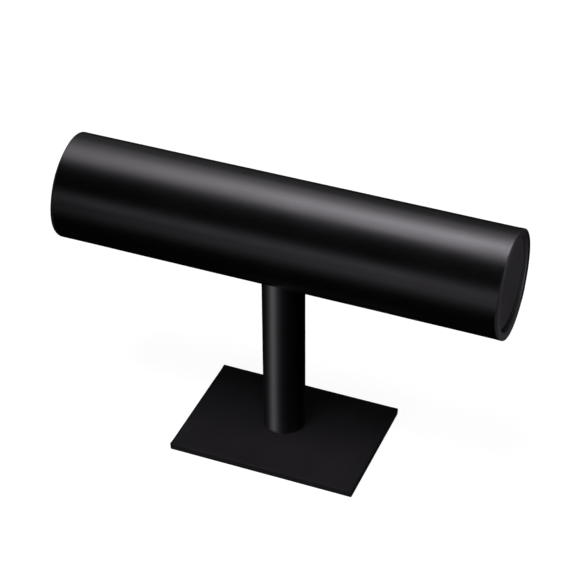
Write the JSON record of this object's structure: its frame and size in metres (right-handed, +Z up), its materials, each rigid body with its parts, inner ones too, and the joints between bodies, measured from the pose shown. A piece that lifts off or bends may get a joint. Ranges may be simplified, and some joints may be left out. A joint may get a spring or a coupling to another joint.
{
  "type": "bracelet display stand",
  "caption": "Round horizontal bar for bracelets on a round post and a thin rectangular base, covered in black leatherette.",
  "frame": {"origin": "middle of the underside of the base, on the surface the stand rests on", "axes": "+X along the bar, +Y to the back of the stand, +Z up"},
  "size_m": [0.236, 0.0716, 0.155],
  "materials": {
    "bar_leatherette": "smooth black leatherette with a satin sheen",
    "post_leatherette": "smooth black leatherette with a satin sheen",
    "end_leatherette": "smooth black leatherette, duller than the bar",
    "base_leatherette": "matte black leatherette",
    "paperboard": "spirally wound brown paperboard",
    "disc_board": "grey binder's board",
    "fibreboard": "medium-density fibreboard",
    "hardwood": "turned beech",
    "lining_card": "black lining card",
    "zinc_plated_steel": "zinc-plated steel"
  },
  "bodies": {
    "root": {"base_board": "fibreboard", "base_wrap": "base_leatherette", "base_lining": "lining_card", "base_screws": "zinc_plated_steel", "post_core": "hardwood", "post_wrap": "post_leatherette", "bar_tube": "paperboard", "bar_wrap": "bar_leatherette", "saddle_plate": "zinc_plated_steel", "bar_screws": "zinc_plated_steel", "end_disc_left": "disc_board", "end_disc_right": "disc_board", "end_cover_left": "end_leatherette", "end_cover_right": "end_leatherette"}
  },
  "joints": []
}
